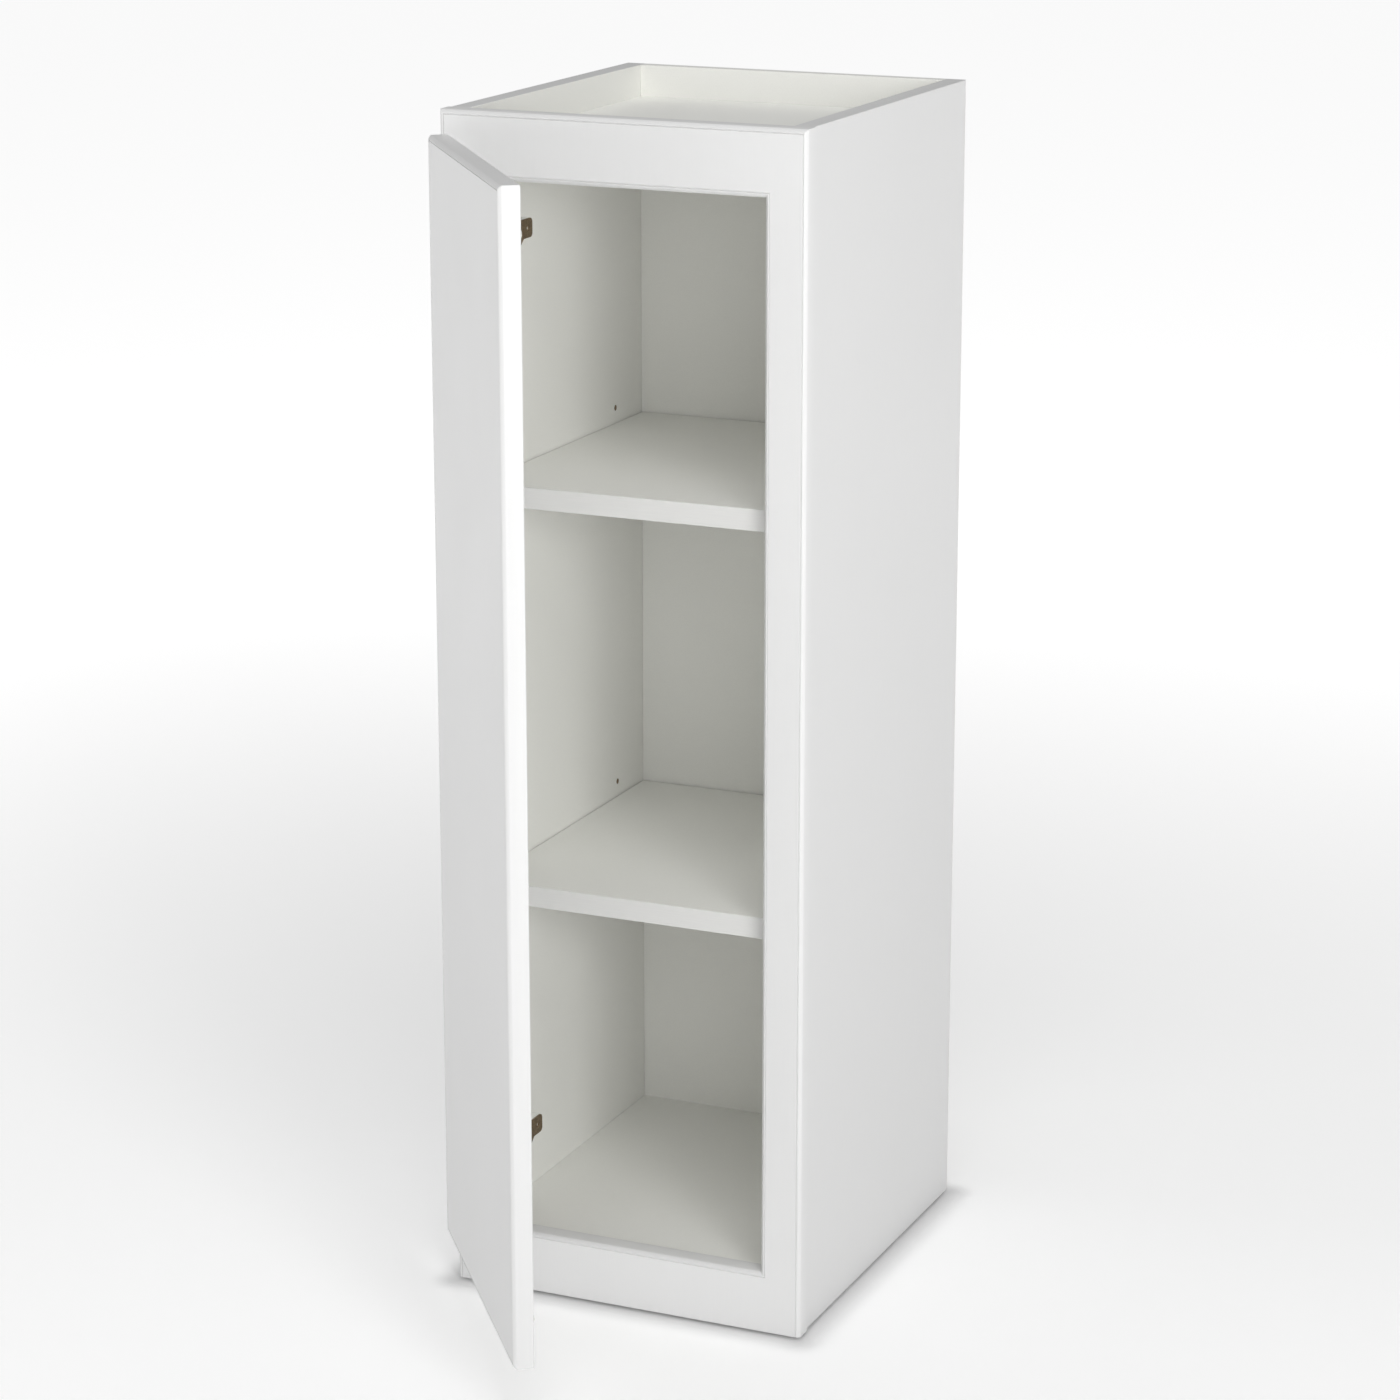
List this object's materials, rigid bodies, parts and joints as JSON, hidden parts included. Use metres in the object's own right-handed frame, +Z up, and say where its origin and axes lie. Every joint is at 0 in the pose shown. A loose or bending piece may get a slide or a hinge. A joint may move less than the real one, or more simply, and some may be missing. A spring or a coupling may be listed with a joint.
{
  "type": "locker cabinet",
  "caption": "Tall narrow storage cabinet with a face frame, a left-hinged slab door standing open, adjustable shelves and a shallow recess on top.",
  "frame": {"origin": "on the floor, in the middle of the bottom rail's underside, on the cabinet's centre line", "axes": "+Z up, +Y from the front towards the wall, +X to the right as seen from the front"},
  "size_m": [0.3389, 0.6402, 1.067],
  "materials": {
    "white_paint": "sprayed satin lacquer",
    "inner_board": "fine-textured off-white laminate",
    "edge_band": "satin edge band",
    "bronze": "antique bronze plating",
    "zinc": "zinc plated",
    "nickel": "nickel plated",
    "beech": "bare fluted beech",
    "soft_pad": "translucent soft pad"
  },
  "bodies": {
    "cabinet": {"side_panel_left": "white_paint", "side_panel_right": "white_paint", "top_panel": "inner_board", "bottom_panel": "inner_board", "back_panel": "inner_board", "stile_left": "white_paint", "stile_right": "white_paint", "rail_top": "white_paint", "rail_bottom": "white_paint", "rail_dowels": "beech", "frame_dowels": "beech", "carcass_dowels": "beech", "back_screws": "zinc", "shelf_upper": "inner_board", "shelf_lower": "inner_board", "shelf_band_upper": "edge_band", "shelf_band_lower": "edge_band", "shelf_pins_upper": "nickel", "shelf_pins_lower": "nickel", "hinge_block_upper": "white_paint", "hinge_block_lower": "white_paint", "frame_leaf_upper": "bronze", "frame_leaf_lower": "bronze", "hinge_pin_upper": "bronze", "hinge_pin_lower": "bronze", "frame_leaf_screws": "bronze"},
    "door": {"door_leaf_upper": "bronze", "door_leaf_lower": "bronze", "door_leaf_screws": "bronze", "door_panel": "white_paint", "door_bumpers": "soft_pad"}
  },
  "joints": [
    {"name": "door_swing", "type": "hinge", "parent": "cabinet", "child": "door", "pos_m": [-0.1595, -0.0127, 0.5], "axis": [0, 0, -1], "range_deg": [-52.4, 57.6]}
  ]
}
